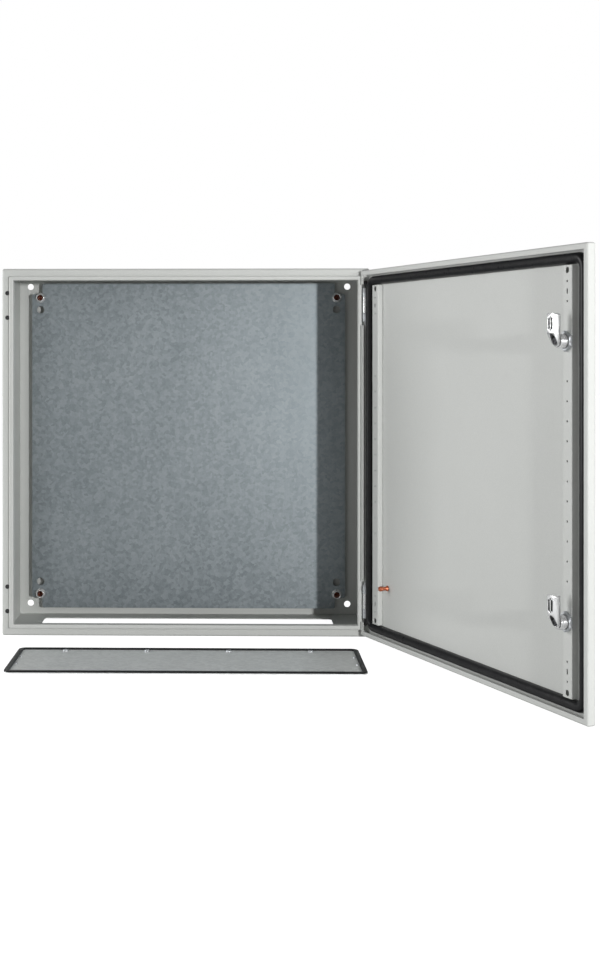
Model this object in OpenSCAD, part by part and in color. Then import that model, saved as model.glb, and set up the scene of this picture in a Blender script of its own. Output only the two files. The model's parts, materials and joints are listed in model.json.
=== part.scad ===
// Wall-mounted sheet-steel enclosure with one hinged door, two quarter-turn cam locks,
// a galvanised mounting plate and a loose gland plate that closes the opening in its floor.
// Millimetres. X to the right, Y to the rear, Z up. The origin is the centre of the
// wall-fixing hole pattern, on the rear face.

/* [Body] */
// Outer width of the body
body_w = 600; // [400:10:800]
// Outer height of the body
body_h = 600; // [500:10:800]
// Depth from the rear face to the front face of the rim flange
body_depth = 190; // [150:5:300]
// Thickness of the body sheet
wall_t = 1.5; // [1:0.1:2]
// Outside radius of the body's bends
body_bend_r = 3.5; // [2.5:0.1:4]
// Distance from the body's sides to the wall-fixing holes
wall_hole_inset = 20; // [17:0.5:21]
// Diameter of the wall-fixing holes
wall_hole_d = 11; // [7:0.5:12]

/* [Rim] */
// Width of the flat flange round the front
flange_w = 12.5; // [12.3:0.1:14]
// Width of the raised sealing ridge inside the flange
ridge_w = 7; // [6:0.5:8]
// Height of the ridge in front of the flange
ridge_h = 6.5; // [5.5:0.1:6.5]
// How far the ridge's inner leg reaches back behind the flange face
ridge_return = 7; // [3:0.5:7.2]
// Outside radius of the ridge's bends
ridge_bend_r = 2; // [1.7:0.1:2.4]

/* [Floor opening] */
// Width of the cable opening in the floor
opening_w = 498; // [200:2:520]
// Depth of the cable opening in the floor, front to back
opening_d = 124; // [60:2:126]
// Distance from the rear face to the opening
opening_rear = 41; // [35:1:50]
// Corner radius of the opening
opening_corner_r = 6; // [2:1:15]

/* [Mounting plate] */
// Gap between the plate and each side of the body
plate_side_gap = 25; // [22:1:27]
// Gap between the plate and the body's top and bottom
plate_end_gap = 15; // [12:1:16]
// Thickness of the plate
plate_t = 2.5; // [1.5:0.5:4]
// Distance between the rear panel and the plate
plate_standoff = 15; // [8:1:25]
// Width of the corner notches
notch_w = 18; // [12:0.5:18]
// Height of the corner notches
notch_h = 18.5; // [12:0.5:19]
// Corner radius of the plate
plate_corner_r = 4; // [1:0.5:5]
// Distance from the body's sides to the plate studs
stud_inset = 40; // [38:1:60]
// Thread diameter of the plate studs
stud_d = 8; // [6:1:10]
// Diameter of the plate's spare holes
spare_hole_d = 13; // [6:0.5:14]
// Distance between each stud and the spare hole next to it
spare_hole_offset = 21; // [20:1:40]

/* [Door] */
// Gap between the door's edges and the body's sides
door_side_gap = 2.5; // [2.5:0.1:3]
// Distance from the body's top and bottom to the door's edges
door_end_gap = 4.5; // [4.5:0.1:6]
// Thickness of the door from its face to its folded lip
door_depth = 12; // [12:0.5:16]
// Thickness of the door sheet
door_t = 1.5; // [1:0.1:2]
// Outside radius of the door's bends
door_bend_r = 2.5; // [2.2:0.1:3]
// Width of the lip folded inwards round the door
lip_w = 8; // [6:0.5:8]
// Distance from the rim flange to the closed door's lip
rim_gap = 5; // [5:0.1:6]
// Angle by which the door stands open
door_open = 112; // [0:1:120]

/* [Door gasket] */
// Width of the gasket strip
gasket_w = 15; // [12:0.5:16]
// Gap between the hinge barrels and the gasket beside them
gasket_gap = 0.3; // [0.3:0.1:3]
// Corner radius of the gasket's inner edge
gasket_corner_r = 6; // [2:1:12]

/* [Door rails] */
// Distance from the door's upright edges to the middle of each rail
rail_inset = 45; // [40:1:60]
// Width of the rails
rail_w = 20; // [19.5:0.5:24]
// Height of the rails above the door sheet
rail_h = 8; // [6:0.5:10]
// Thickness of the rail sheet
rail_t = 1.5; // [1:0.1:2]
// Gap between the gasket and the ends of the rails
rail_end_gap = 0.7; // [0.3:0.1:20]
// Pitch of the small holes along the rails
rail_pitch = 25; // [20:1:50]
// Diameter of the small holes
rail_hole_d = 2.8; // [2:0.1:5]
// Diameter of the hole near each end of the rails
rail_end_hole_d = 8; // [5:0.5:9]
// Distance from the rail's ends to those holes
rail_end_inset = 6; // [5.5:0.5:8]
// Length of the two slots in each rail
rail_slot_len = 7; // [4:0.5:10]

/* [Hinges] */
// Distance from the body's top and bottom to the outer hinge hole
hinge_first = 40; // [35:1:80]
// Distance between the two holes of a hinge
hinge_pitch = 40; // [36:1:60]
// Distance from the body's sides to the hinge holes
hinge_hole_inset = 9; // [8.8:0.1:9.2]
// Distance from the body's side to the pin's axis
pin_inset = 8; // [7.8:0.1:8.2]
// Distance from the rim flange forward to the pin's axis
pin_front = 11; // [10.9:0.1:11.1]
// Diameter of the hinge pins
pin_d = 4; // [3:0.1:5]
// Outside radius of the hinge knuckles
knuckle_r = 4; // [3.5:0.1:4.2]
// Length of the hinge knuckles fixed to the body
knuckle_len = 14; // [10:1:16]
// Length of the cap on the pin's outer end
hinge_cap_len = 12; // [4:1:14]
// Outside diameter of that cap
hinge_cap_d = 6; // [5:0.1:6.5]
// Length of the pin's cone beyond the inner knuckle
pin_tip = 6; // [3:0.5:8]
// Diameter of the hinge screws
hinge_screw_d = 3; // [2:0.5:3]
// Diameter of the holes in the flange for hinges
hinge_hole_d = 3.4; // [3.2:0.1:4.4]
// Diameter of the heads of the plugs that close the unused hinge holes
plug_head_d = 6.4; // [5:0.1:6.4]

/* [Locks] */
// Distance between the two locks
lock_pitch = 350; // [200:25:400]
// Diameter of the lock barrels
barrel_d = 18; // [14:0.5:18]
// How far the barrel reaches in from the door sheet
barrel_reach = 22.4; // [18:0.1:22.4]
// Diameter of the lock's outside collar
collar_d = 28; // [22:1:34]
// Height of the lock's outside collar
collar_h = 4; // [2:0.5:6]
// Width across the flats of the lock nut
nut_af = 23; // [22:0.5:24]
// Thickness of the lock nut
nut_t = 5; // [3:0.5:6]
// Diameter of the turning spindle
spindle_d = 10; // [9:0.5:11]
// Distance from the spindle's axis to the cam's tip
cam_reach = 35; // [30:0.5:38]
// Width of the cam
cam_w = 14; // [13:0.5:16]
// Depth of the cam along the spindle
cam_depth = 10; // [9:0.5:11]
// Distance from the door sheet to the cam
cam_gap = 23; // [23:0.1:25]
// Wall left round the cam's hollows
cam_wall = 2; // [1.5:0.1:2.2]
// Length of the trough in the cam's tongue
trough_len = 16; // [8:1:18]

/* [Earth stud] */
// Diameter of the copper-coated stud on the door
earth_d = 8; // [6:1:10]
// Length of that stud
earth_len = 15; // [10:1:25]
// Distance from the door's hinge edge to the stud
earth_inset = 72; // [65:1:120]
// Height of the stud above the body's bottom
earth_up = 91; // [60:1:200]

/* [Gland plate] */
// How far the plate reaches past the opening at each end
gland_end_lap = 14; // [13.5:0.5:18]
// How far the plate reaches past the opening at front and back
gland_side_lap = 20; // [20:0.5:22]
// Thickness of the gland plate
gland_t = 1.5; // [1:0.1:2]
// Height of the gland plate's gasket
gland_gasket_h = 2.4; // [1.5:0.1:2.4]
// Width of the gland plate's gasket
gland_gasket_w = 8; // [6:0.5:8.4]
// Outside diameter of the gland plate's clinch nuts
clinch_d = 8.4; // [7:0.2:9]
// Thread hole of the clinch nuts
clinch_bore = 4; // [3:0.5:5]
// Distance between neighbouring clinch nuts along the back
clinch_pitch = 126; // [60:2:140]
// Number of clinch nuts along the back
clinch_count = 4; // [2:1:4]
// Distance between the two rivets at each end
end_rivet_pitch = 48; // [30:2:70]
// Diameter of the end rivets
end_rivet_d = 4; // [3:0.5:4.5]
// How far the loose plate lies in front of the rim flange
gland_front = 106; // [60:2:300]
// How far the loose plate lies to the right of the body's middle
gland_shift = 8; // [0:1:30]

/* [Hidden] */
$fn = 64;

paint = "#b9bab6";
door_paint = "#c4c5c2";
galvanised = "#94999b";
zinc = "#9c9fa0";
copper = "#b5643c";
black = "#26272a";
chrome = "#d6d8da";

// Clearance between pieces that don't touch, and round pins that turn
seat_gap = 0.3;
running_gap = 0.05;
// Overrun of cutting shapes past the faces that they cut
over = 1;

rim_y = -body_depth;
lip_y = rim_y - rim_gap;
skin_y = lip_y - door_depth + door_t;
door_face_y = lip_y - door_depth;
door_w = body_w - 2 * door_side_gap;
door_h = body_h - 2 * door_end_gap;
pin_x = body_w / 2 - pin_inset;
pin_y = rim_y - pin_front;
ridge_chamfer = 1.8 * wall_t;

plate_w = body_w - 2 * plate_side_gap;
plate_h = body_h - 2 * plate_end_gap;
panel_face_y = -wall_t;
plate_back_y = panel_face_y - plate_standoff;
plate_front_y = plate_back_y - plate_t;
stud_base_h = 1.5;
stud_past_plate = 9;
stud_dimple_d = 5;
sleeve_wall = 3;
flange_nut_d = 17;
flange_nut_af = 13;
flange_nut_flange = 1;
flange_nut_cone = 2;
flange_nut_h = 8;

gasket_h = -skin_y + rim_y - ridge_h - seat_gap;
gasket_inset = pin_inset - door_side_gap + knuckle_r + gasket_gap;
hinge_middle = hinge_first + hinge_pitch / 2;
hinge_zs = [body_h / 2 - hinge_middle, -body_h / 2 + hinge_middle];
bracket_len = hinge_pitch - knuckle_len - 2 * seat_gap;
hinge_reach = (hinge_pitch + knuckle_len) / 2;
hinge_notch_half = hinge_reach + 6;
pin_past_knuckle = 2;
foot_t = 2;
neck_out = 0.8;
neck_in = flange_w - pin_inset - 0.4;
foot_half = min(pin_inset - body_bend_r, flange_w - pin_inset) - 0.5;
screw_grip = 4;
screw_head_d = 5.5;
screw_head_h = 2;

lock_x = -door_w / 2 + rail_inset;
lock_zs = [lock_pitch / 2, -lock_pitch / 2];
seal_t = 1;
square_side = 7;
cam_bore_fit = 0.1;
cam_screw_d = 4;
cam_screw_head_d = 8.5;
cam_screw_head_h = 2.6;
cam_screw_len = 8;
cam_floor = 3;
cam_hub_depth = 5;
trough_to_tip = 6;
rail_skip = 25;
rail_len = door_h - 2 * (gasket_inset + gasket_w + rail_end_gap);
rail_holes_half = floor((rail_len / 2 - 2 * rail_end_inset) / rail_pitch);

floor_z = -body_h / 2;
opening_y = -opening_rear - opening_d / 2;
gland_w = opening_w + 2 * gland_end_lap;
gland_d = opening_d + 2 * gland_side_lap;
gland_y = rim_y - gland_front - gland_d / 2;
clinch_inset = 16;
end_rivet_inset = 10.75;
gland_corner_r = 12;

// ---- shared shapes ----

// A flat rectangle with round corners, centred
module round_rect(w, h, r) {
    square([w - 2 * r, h], center = true);
    square([w, h - 2 * r], center = true);
    for (x = [-1, 1], y = [-1, 1])
        translate([x * (w / 2 - r), y * (h / 2 - r)]) circle(r);
}

// A slab in the XZ plane that starts at y and reaches t towards the front
module upright_slab(y, t) {
    translate([0, y, 0]) rotate([90, 0, 0]) linear_extrude(t) children();
}

// Sweeps a profile round an upright rectangle whose corner centres stand w and h apart.
// The profile's X is the distance out from the corner centres, its Y the distance forward.
module frame_sweep(w, h) {
    rotate([90, 0, 0])
        for (i = [0:3]) {
            across = i % 2 == 0 ? w : h;
            along = i % 2 == 0 ? h : w;
            rotate([0, 0, 90 * i]) translate([across / 2, along / 2, 0]) {
                rotate([90, 0, 0]) linear_extrude(along) children();
                rotate_extrude(angle = 90) children();
            }
        }
}

// A quarter of a bent sheet with its centre at the profile's axis, in the +X +Y quadrant
module quarter_bend(r, t) {
    intersection() {
        difference() {
            circle(r);
            circle(r - t);
        }
        square(r + over);
    }
}

// A cylinder along Y that starts at y and reaches len towards the front
module rod_y(y, len, d) {
    translate([0, y, 0]) rotate([90, 0, 0]) cylinder(h = len, d = d);
}

// A hexagonal prism along Y that starts at y and reaches len towards the front
module hex_y(y, len, af) {
    translate([0, y, 0]) rotate([90, 30, 0]) cylinder(h = len, d = af / cos(30), $fn = 6);
}

// The same with the corners of its front end turned off
module nut_y(y, len, af) {
    corners = af / cos(30);
    turned = (corners - af) / 2 * tan(30);
    intersection() {
        hex_y(y, len, af);
        union() {
            rod_y(y + over, len - turned + over, corners + over);
            translate([0, y - len + turned, 0]) rotate([90, 0, 0]) cylinder(h = turned, d1 = corners, d2 = af);
        }
    }
}

// Repeats its children at the four studs of the mounting plate
module at_studs() {
    for (x = [-1, 1], z = [-1, 1])
        translate([x * (body_w / 2 - stud_inset), 0, z * (body_h / 2 - stud_inset)]) children();
}

// Repeats its children at the four flange holes on one side of the body: 1 right, -1 left
module at_flange_holes(side) {
    for (end = [-1, 1], n = [0, 1])
        translate([side * (body_w / 2 - hinge_hole_inset), rim_y,
            end * (body_h / 2 - hinge_first - n * hinge_pitch)]) children();
}

// Turns door pieces, which are drawn with the door closed, to where the door stands open
module on_open_door() {
    translate([pin_x, pin_y, 0]) rotate([0, 0, door_open]) translate([-pin_x, -pin_y, 0]) children();
}

// ---- body ----

// Outer wall and its bend into the flange
module wall_profile() {
    translate([body_bend_r - wall_t, 0]) square([wall_t, body_depth - body_bend_r]);
    translate([0, body_depth - body_bend_r]) quarter_bend(body_bend_r, wall_t);
}

// Raised ridge: an outer leg on the flange, a flat top and a longer inner leg. X = 0 is its outside.
module ridge_profile() {
    top = body_depth + ridge_h;
    foot = body_depth - ridge_return;
    translate([-ridge_w, 0]) difference() {
        union() {
            translate([0, foot]) square([ridge_w, top - foot - ridge_bend_r]);
            translate([ridge_bend_r, foot]) square([ridge_w - 2 * ridge_bend_r, top - foot]);
            for (x = [ridge_bend_r, ridge_w - ridge_bend_r])
                translate([x, top - ridge_bend_r]) circle(ridge_bend_r);
        }
        translate([wall_t, foot - over])
            square([ridge_w - 2 * wall_t, top - wall_t - foot + over]);
        translate([wall_t, foot - over])
            square([ridge_w, body_depth - wall_t - foot + over]);
    }
}

// The ridge round the opening, mitred at its corners, with the outer edge of each mitre dressed flat
module ridge_frame() {
    w = body_w - 2 * flange_w;
    h = body_h - 2 * flange_w;
    reach = 2 * ridge_w;
    height = body_depth + ridge_h + over;
    rotate([90, 0, 0]) difference() {
        for (i = [0:3]) {
            across = i % 2 == 0 ? w / 2 : h / 2;
            along = i % 2 == 0 ? h / 2 : w / 2;
            rotate([0, 0, 90 * i]) intersection() {
                translate([across, along + over, 0]) rotate([90, 0, 0])
                    linear_extrude(2 * (along + over)) ridge_profile();
                linear_extrude(height)
                    polygon([[across + over, -along - over], [across + over, along + over],
                        [across - reach, along - reach], [across - reach, reach - along]]);
            }
        }
        for (x = [-1, 1], y = [-1, 1])
            translate([x * (w / 2 - ridge_chamfer / 2 + over / 2), y * (h / 2 - ridge_chamfer / 2 + over / 2),
                body_depth + height / 2]) rotate([0, 0, x * y * 45])
                cube([sqrt(2) * over, 4 * ridge_w, height], center = true);
    }
}

module flange_plate() {
    inner = 2 * (flange_w + wall_t / 2);
    upright_slab(rim_y + wall_t, wall_t) difference() {
        square([body_w - 2 * body_bend_r, body_h - 2 * body_bend_r], center = true);
        square([body_w - inner, body_h - inner], center = true);
    }
}

// Holes in the floor for the gland plate's fixings, at the plate's fitted place
module gland_floor_holes() {
    for (i = [0:clinch_count - 1])
        translate([(i - (clinch_count - 1) / 2) * clinch_pitch, opening_y + gland_d / 2 - clinch_inset,
            floor_z - over]) cylinder(h = wall_t + 2 * over, d = clinch_bore + 0.5);
    for (x = [-1, 1], y = [-1, 1])
        translate([x * (gland_w / 2 - end_rivet_inset), opening_y + y * end_rivet_pitch / 2, floor_z - over])
            cylinder(h = wall_t + 2 * over, d = end_rivet_d + 0.5);
}

module enclosure_frame() {
    color(paint) difference() {
        union() {
            frame_sweep(body_w - 2 * body_bend_r, body_h - 2 * body_bend_r) wall_profile();
            flange_plate();
            ridge_frame();
        }
        for (side = [-1, 1]) at_flange_holes(side) rod_y(over + wall_t, wall_t + 2 * over, hinge_hole_d);
        translate([0, opening_y, floor_z - over])
            linear_extrude(wall_t + 2 * over) round_rect(opening_w, opening_d, opening_corner_r);
        gland_floor_holes();
    }
}

// Flat panel welded in flush with the rear edges of the four walls
module rear_panel() {
    color(paint) difference() {
        upright_slab(0, wall_t) round_rect(body_w - 2 * wall_t, body_h - 2 * wall_t, body_bend_r - wall_t);
        for (x = [-1, 1], z = [-1, 1])
            translate([x * (body_w / 2 - wall_hole_inset), 0, z * (body_h / 2 - wall_hole_inset)])
                rod_y(over, wall_t + 2 * over, wall_hole_d);
    }
}

module plate_studs() {
    stud_len = plate_standoff + plate_t + stud_past_plate;
    tip_y = panel_face_y - stud_len;
    color(copper) at_studs() difference() {
        union() {
            rod_y(panel_face_y, stud_base_h, stud_d + 2);
            rod_y(panel_face_y, stud_len - 1, stud_d);
            translate([0, tip_y + 1, 0]) rotate([90, 0, 0]) cylinder(h = 1, d1 = stud_d, d2 = stud_d - 1.6);
        }
        translate([0, tip_y - over, 0]) rotate([-90, 0, 0])
            cylinder(h = stud_dimple_d / 2 + over, d1 = stud_dimple_d + over, d2 = stud_dimple_d / 3);
    }
}

// Spacers that hold the mounting plate off the rear panel
module stud_sleeves() {
    color(zinc) at_studs() difference() {
        rod_y(panel_face_y - stud_base_h, plate_standoff - stud_base_h, stud_d + 2 * sleeve_wall);
        rod_y(over + panel_face_y, plate_standoff + 2 * over, stud_d + 2 * running_gap);
    }
}

module plate_outline() {
    round_rect(plate_w - 2 * notch_w, plate_h, plate_corner_r);
    round_rect(plate_w, plate_h - 2 * notch_h, plate_corner_r);
}

module mounting_plate() {
    color(galvanised) difference() {
        upright_slab(plate_back_y, plate_t) plate_outline();
        at_studs() rod_y(plate_back_y + over, plate_t + 2 * over, stud_d + 1);
        for (x = [-1, 1], z = [-1, 1])
            translate([x * (body_w / 2 - stud_inset), 0, z * (body_h / 2 - stud_inset - spare_hole_offset)])
                rod_y(plate_back_y + over, plate_t + 2 * over, spare_hole_d);
    }
}

module plate_nuts() {
    color(zinc) at_studs() difference() {
        union() {
            rod_y(plate_front_y, flange_nut_flange, flange_nut_d);
            translate([0, plate_front_y - flange_nut_flange, 0]) rotate([90, 0, 0])
                cylinder(h = flange_nut_cone, d1 = flange_nut_d, d2 = flange_nut_af);
            nut_y(plate_front_y, flange_nut_h, flange_nut_af);
        }
        rod_y(plate_front_y + over, flange_nut_h + 2 * over, stud_d + 2 * running_gap);
    }
}

// Push-in plugs in the hinge holes on the lock side
module hinge_hole_plugs() {
    head_h = 1.4;
    color(black) at_flange_holes(-1) {
        intersection() {
            rod_y(0, head_h, plug_head_d);
            translate([0, plug_head_d - head_h, 0]) sphere(plug_head_d);
        }
        rod_y(wall_t + 2, wall_t + 2, hinge_hole_d - 2 * running_gap);
    }
}

// ---- hinges ----

// Two barrels on feet, screwed to the flange, one above and one below the door's bracket
module hinge_knuckles(z) {
    color(zinc) for (n = [-1, 1])
        translate([pin_x, pin_y, z + n * hinge_pitch / 2 - knuckle_len / 2]) difference() {
            union() {
                cylinder(h = knuckle_len, r = knuckle_r);
                translate([-neck_in, 0, 0]) cube([neck_in + neck_out, pin_front, knuckle_len]);
                translate([-foot_half, pin_front - foot_t, 0]) cube([2 * foot_half, foot_t, knuckle_len]);
            }
            translate([0, 0, -over]) cylinder(h = knuckle_len + 2 * over, d = pin_d + 2 * running_gap);
            translate([pin_inset - hinge_hole_inset, pin_front, knuckle_len / 2])
                rod_y(over, screw_grip + over, hinge_screw_d + 2 * running_gap);
        }
}

// A pin with a cone on the end towards the door's middle: out is 1 on the upper hinge, -1 on the lower
module hinge_pin(z, out) {
    color(zinc) translate([pin_x, pin_y, z]) rotate([out > 0 ? 0 : 180, 0, 0]) {
        translate([0, 0, -hinge_reach]) cylinder(h = 2 * hinge_reach + pin_past_knuckle, d = pin_d);
        translate([0, 0, -hinge_reach - pin_tip]) cylinder(h = pin_tip, d1 = pin_d / 4, d2 = pin_d);
    }
}

// Plastic cap over the pin's outer end, on the outer knuckle
module hinge_cap(z, out) {
    color(black) translate([pin_x, pin_y, z]) rotate([out > 0 ? 0 : 180, 0, 0])
        translate([0, 0, hinge_reach]) difference() {
            union() {
                cylinder(h = hinge_cap_len - 1, d = hinge_cap_d);
                translate([0, 0, hinge_cap_len - 1]) cylinder(h = 1, d1 = hinge_cap_d, d2 = hinge_cap_d - 2);
            }
            translate([0, 0, -over]) cylinder(h = pin_past_knuckle + 0.5 + over, d = pin_d + 2 * running_gap);
        }
}

// The door's half of a hinge: a barrel with a seat welded to the door sheet and a window to the pin
module hinge_bracket(z) {
    window_w = 2.4;
    window_h = 6.5;
    color(chrome) on_open_door() translate([pin_x, pin_y, z - bracket_len / 2]) difference() {
        union() {
            cylinder(h = bracket_len, r = knuckle_r);
            translate([-knuckle_r, skin_y - pin_y, 0]) cube([2 * knuckle_r, pin_y - skin_y, bracket_len]);
        }
        translate([0, 0, -over]) cylinder(h = bracket_len + 2 * over, d = pin_d + 2 * running_gap);
        translate([-knuckle_r - over, -window_w / 2, (bracket_len - window_h) / 2])
            cube([knuckle_r + over, window_w, window_h]);
    }
}

module hinge_screws() {
    color(zinc) at_flange_holes(1) {
        rod_y(wall_t + screw_head_h, screw_head_h, screw_head_d);
        rod_y(wall_t, wall_t + screw_grip - 0.5, hinge_screw_d);
    }
}

// ---- door ----

// Folded edge of the door: a bend at the lip, a straight return and a bend at the face
module door_edge_profile() {
    translate([0, door_bend_r]) mirror([0, 1]) quarter_bend(door_bend_r, door_t);
    translate([door_bend_r - door_t, door_bend_r]) square([door_t, door_depth - 2 * door_bend_r]);
    translate([0, door_depth - door_bend_r]) quarter_bend(door_bend_r, door_t);
}

module door_lip() {
    upright_slab(lip_y, door_t) difference() {
        square([door_w - 2 * door_bend_r, door_h - 2 * door_bend_r], center = true);
        square([door_w - 2 * lip_w, door_h - 2 * lip_w], center = true);
    }
}

module door_shell() {
    color(door_paint) on_open_door() difference() {
        union() {
            translate([0, lip_y, 0])
                frame_sweep(door_w - 2 * door_bend_r, door_h - 2 * door_bend_r) door_edge_profile();
            upright_slab(skin_y, door_t)
                square([door_w - 2 * door_bend_r, door_h - 2 * door_bend_r], center = true);
            door_lip();
        }
        for (z = hinge_zs)
            translate([door_w / 2 - lip_w - over, skin_y, z - hinge_notch_half])
                cube([lip_w + 2 * over, door_depth - door_t + over, 2 * hinge_notch_half]);
        for (z = lock_zs)
            translate([lock_x, 0, z]) rod_y(skin_y + over, door_t + 2 * over, barrel_d + 2 * running_gap);
    }
}

// Half-round foam strip on the door sheet, just inside the lip
module door_gasket() {
    rise = gasket_h;
    half = gasket_w / 2;
    r = (half * half + rise * rise) / (2 * rise);
    centre = gasket_inset + gasket_w + gasket_corner_r;
    color(black) on_open_door() translate([0, skin_y, 0])
        frame_sweep(door_w - 2 * centre, door_h - 2 * centre)
            translate([gasket_corner_r, 0]) intersection() {
                translate([0, -rise]) square([gasket_w, rise]);
                translate([half, r - rise]) circle(r);
            }
}

// Pressed rail: a flat face with holes and two legs that stand on the door sheet
module door_rail(x) {
    leg_r = 2;
    color(door_paint) on_open_door() translate([x, skin_y, 0]) difference() {
        translate([0, 0, -rail_len / 2]) linear_extrude(rail_len) difference() {
            union() {
                translate([-rail_w / 2, 0]) square([rail_w, rail_h - leg_r]);
                translate([-rail_w / 2 + leg_r, 0]) square([rail_w - 2 * leg_r, rail_h]);
                for (side = [-1, 1])
                    translate([side * (rail_w / 2 - leg_r), rail_h - leg_r]) circle(leg_r);
            }
            translate([-rail_w / 2 + rail_t, -over]) square([rail_w - 2 * rail_t, rail_h - rail_t + over]);
        }
        rail_holes_cut();
    }
}

// Row of small holes that leaves out the places beside the locks, two slots and two end holes
module rail_holes_cut() {
    cut_y = rail_h + over;
    for (i = [-rail_holes_half:rail_holes_half])
        if (abs(abs(i * rail_pitch) - lock_pitch / 2) > rail_skip + over)
            translate([0, 0, i * rail_pitch]) rod_y(cut_y, rail_t + 2 * over, rail_hole_d);
    for (z = [-1, 1]) {
        translate([0, cut_y, z * (rail_holes_half - 0.5) * rail_pitch]) rotate([90, 90, 0])
            linear_extrude(rail_t + 2 * over) round_rect(rail_slot_len, rail_hole_d, rail_hole_d / 2 - 0.01);
        translate([0, 0, z * (rail_len / 2 - rail_end_inset)]) rod_y(cut_y, rail_t + 2 * over, rail_end_hole_d);
    }
}

module hinge_side_rail() {
    door_rail(door_w / 2 - rail_inset);
}

module lock_side_rail() {
    difference() {
        door_rail(lock_x);
        color(door_paint) on_open_door() for (z = lock_zs)
            translate([lock_x, 0, z]) rod_y(skin_y + rail_h + over, rail_h + over, barrel_d + 2 * running_gap);
    }
}

// Copper-coated weld stud with a waist under its crown
module door_earth_stud() {
    crown = 4;
    color(copper) on_open_door()
        translate([door_w / 2 - earth_inset, skin_y + earth_len, floor_z + earth_up]) {
            rod_y(0, crown - 1, earth_d);
            translate([0, 1 - crown, 0]) rotate([90, 0, 0]) cylinder(h = 1, d1 = earth_d, d2 = earth_d - 1.5);
            rod_y(-crown, earth_len - crown, earth_d - 1.5);
            rod_y(1.5 - earth_len, 1.5, earth_d + 1);
        }
}

// ---- locks, each drawn at its own height on the closed door ----

module lock_housing(z) {
    edge = 1;
    color(chrome) on_open_door() translate([lock_x, 0, z]) difference() {
        union() {
            rod_y(door_face_y - seal_t, collar_h - edge, collar_d);
            translate([0, door_face_y - seal_t - collar_h + edge, 0]) rotate([90, 0, 0])
                cylinder(h = edge, d1 = collar_d, d2 = collar_d - 2 * edge);
            rod_y(skin_y + barrel_reach, barrel_reach + door_t + seal_t + over, barrel_d);
        }
        rod_y(skin_y + barrel_reach + over, barrel_reach + door_depth + collar_h, spindle_d + 2 * running_gap);
    }
}

module lock_seal(z) {
    color(black) on_open_door() translate([lock_x, 0, z]) difference() {
        rod_y(door_face_y, seal_t, collar_d - 1);
        rod_y(door_face_y + over, seal_t + 2 * over, barrel_d + 2 * running_gap);
    }
}

module lock_nut(z) {
    color(zinc) on_open_door() translate([lock_x, 0, z]) difference() {
        translate([0, 2 * (skin_y + rail_h) + nut_t, 0]) mirror([0, 1, 0])
            nut_y(skin_y + rail_h + nut_t, nut_t, nut_af);
        rod_y(skin_y + rail_h + nut_t + over, nut_t + 2 * over, barrel_d + 2 * running_gap);
    }
}

// Round in the barrel, square where it carries the cam, with a double-bit key socket outside
module lock_spindle(z) {
    outer_y = door_face_y - seal_t - collar_h + 1;
    shoulder_y = skin_y + cam_gap;
    socket_depth = 6;
    color(zinc) on_open_door() translate([lock_x, 0, z]) difference() {
        union() {
            rod_y(shoulder_y, shoulder_y - outer_y, spindle_d);
            translate([-square_side / 2, shoulder_y - over, -square_side / 2])
                cube([square_side, cam_floor - seat_gap + over, square_side]);
        }
        difference() {
            rod_y(outer_y + socket_depth, socket_depth + over, spindle_d - 2);
            rod_y(outer_y + socket_depth + over, socket_depth + over, 3);
            translate([-0.6, outer_y - over, -2.8]) cube([1.2, socket_depth + 2 * over, 5.6]);
        }
        rod_y(shoulder_y + cam_floor, cam_screw_len + over, cam_screw_d + 2 * running_gap);
    }
}

// The cam from in front: round at the hub, with a square tip
module cam_outline() {
    half = cam_w / 2;
    tip_r = 2;
    circle(half);
    translate([-half, 0]) square([cam_w, cam_reach - tip_r]);
    translate([tip_r - half, 0]) square([cam_w - 2 * tip_r, cam_reach]);
    for (x = [tip_r - half, half - tip_r]) translate([x, cam_reach - tip_r]) circle(tip_r);
}

// The cam from the side: its front slopes back below the tongue
module cam_side() {
    half = cam_w / 2;
    polygon([[0, -half], [cam_hub_depth, -half], [cam_depth, half], [cam_depth, cam_reach], [0, cam_reach]]);
}

// Cast cam with a ribbed trough in its tongue and a pocket for the screw in its sloping hub
module lock_cam(z) {
    hollow_w = cam_w - 2 * cam_wall;
    bore = square_side + 2 * cam_bore_fit;
    color(chrome) on_open_door() translate([lock_x, skin_y + cam_gap, z]) difference() {
        intersection() {
            translate([0, cam_depth, 0]) rotate([90, 0, 0]) linear_extrude(cam_depth) cam_outline();
            translate([-cam_w / 2 - over, 0, 0]) rotate([90, 0, 90]) linear_extrude(cam_w + 2 * over) cam_side();
        }
        translate([0, cam_depth + over, cam_reach - trough_to_tip - trough_len / 2]) rotate([90, 0, 0])
            linear_extrude(cam_depth - cam_wall + over) difference() {
                square([hollow_w, trough_len], center = true);
                square([cam_wall, trough_len + over], center = true);
            }
        rod_y(cam_depth + over, cam_depth - cam_floor + over, hollow_w);
        translate([-bore / 2, -over, -bore / 2]) cube([bore, cam_depth, bore]);
    }
}

module cam_screw(z) {
    seat_y = skin_y + cam_gap + cam_floor;
    socket_af = 4;
    color(zinc) on_open_door() translate([lock_x, 0, z]) difference() {
        union() {
            rod_y(seat_y + cam_screw_head_h, cam_screw_head_h, cam_screw_head_d);
            rod_y(seat_y, cam_screw_len, cam_screw_d);
        }
        hex_y(seat_y + cam_screw_head_h + over, cam_screw_head_h - 1 + over, socket_af);
    }
}

// ---- gland plate, lying loose in front with its gasket up ----

module at_gland() {
    translate([gland_shift, gland_y, floor_z]) children();
}

module gland_plate() {
    color(zinc) at_gland() linear_extrude(gland_t) round_rect(gland_w, gland_d, gland_corner_r);
}

module gland_gasket() {
    color(black) at_gland() translate([0, 0, gland_t]) linear_extrude(gland_gasket_h) difference() {
        round_rect(gland_w, gland_d, gland_corner_r);
        round_rect(gland_w - 2 * gland_gasket_w, gland_d - 2 * gland_gasket_w, gland_corner_r - gland_gasket_w);
    }
}

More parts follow.
